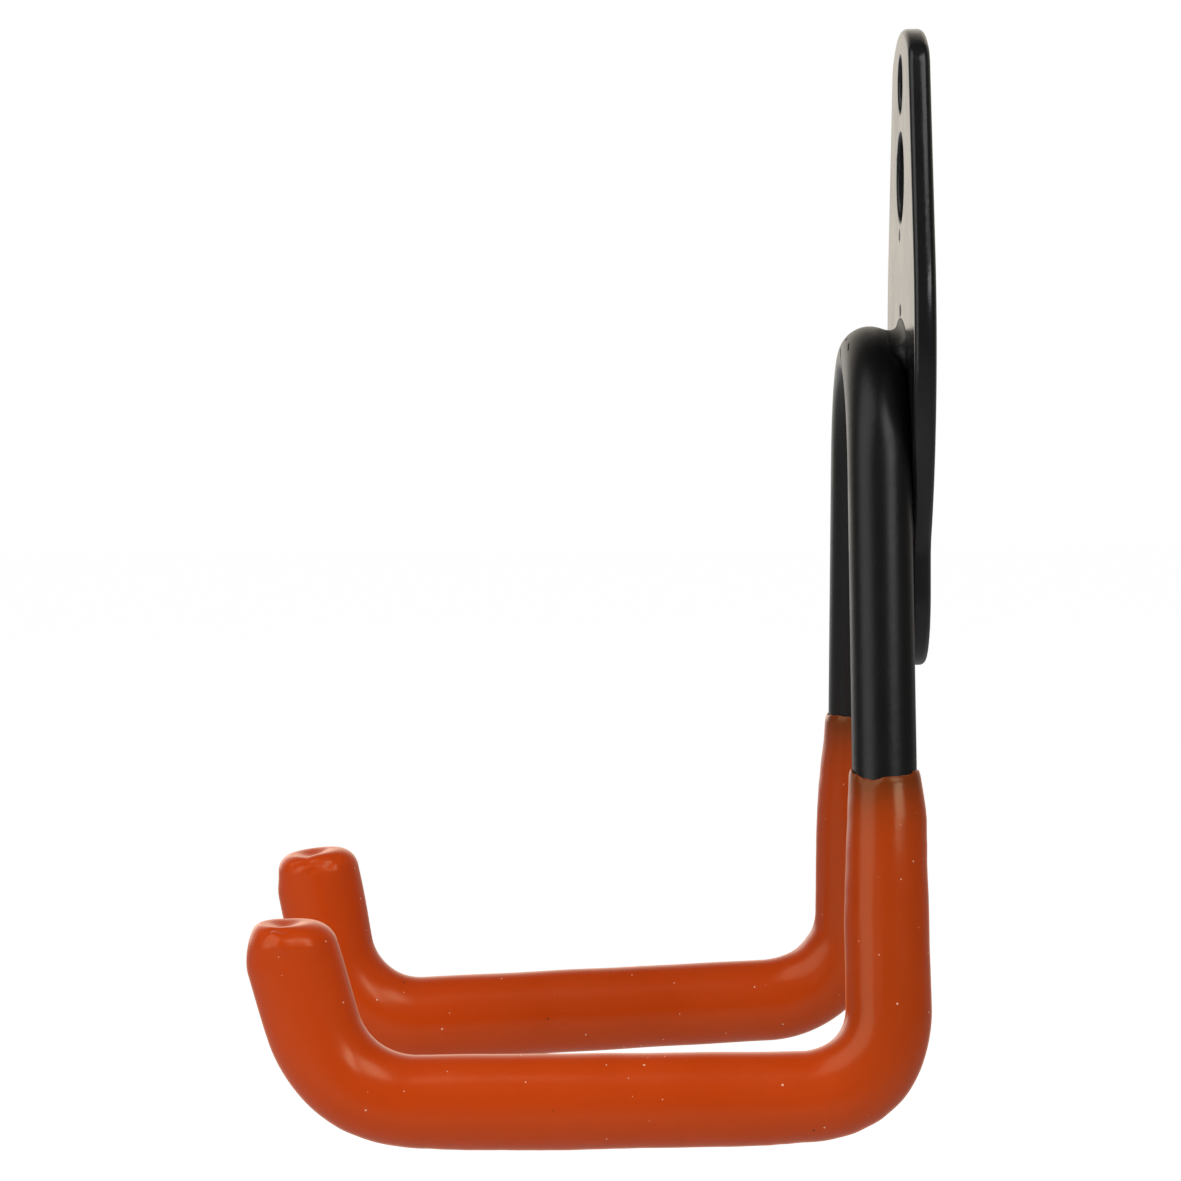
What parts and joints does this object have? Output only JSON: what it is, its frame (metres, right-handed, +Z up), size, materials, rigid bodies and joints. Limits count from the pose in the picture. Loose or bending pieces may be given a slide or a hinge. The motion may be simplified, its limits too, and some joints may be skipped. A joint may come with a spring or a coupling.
{
  "type": "double storage hook",
  "caption": "Wall hook of bent round steel bar with a pair of upturned arms, welded to a shaped screw plate, the arms dipped in soft vinyl.",
  "frame": {"origin": "on the plate's back face, on the axis of the upper screw hole", "axes": "+Z up along the plate, +Y into the wall with the arms reaching towards -Y, +X to the right as seen by someone who faces the wall"},
  "size_m": [0.0759, 0.0883, 0.1409],
  "materials": {
    "powder_coat": "satin",
    "vinyl_dip": "satin"
  },
  "bodies": {
    "root": {"back_plate": "powder_coat", "hook_rod": "powder_coat", "crown_weld_bead": "powder_coat", "right_inner_weld_bead": "powder_coat", "left_inner_weld_bead": "powder_coat", "right_arm_coating": "vinyl_dip", "left_arm_coating": "vinyl_dip"}
  },
  "joints": []
}
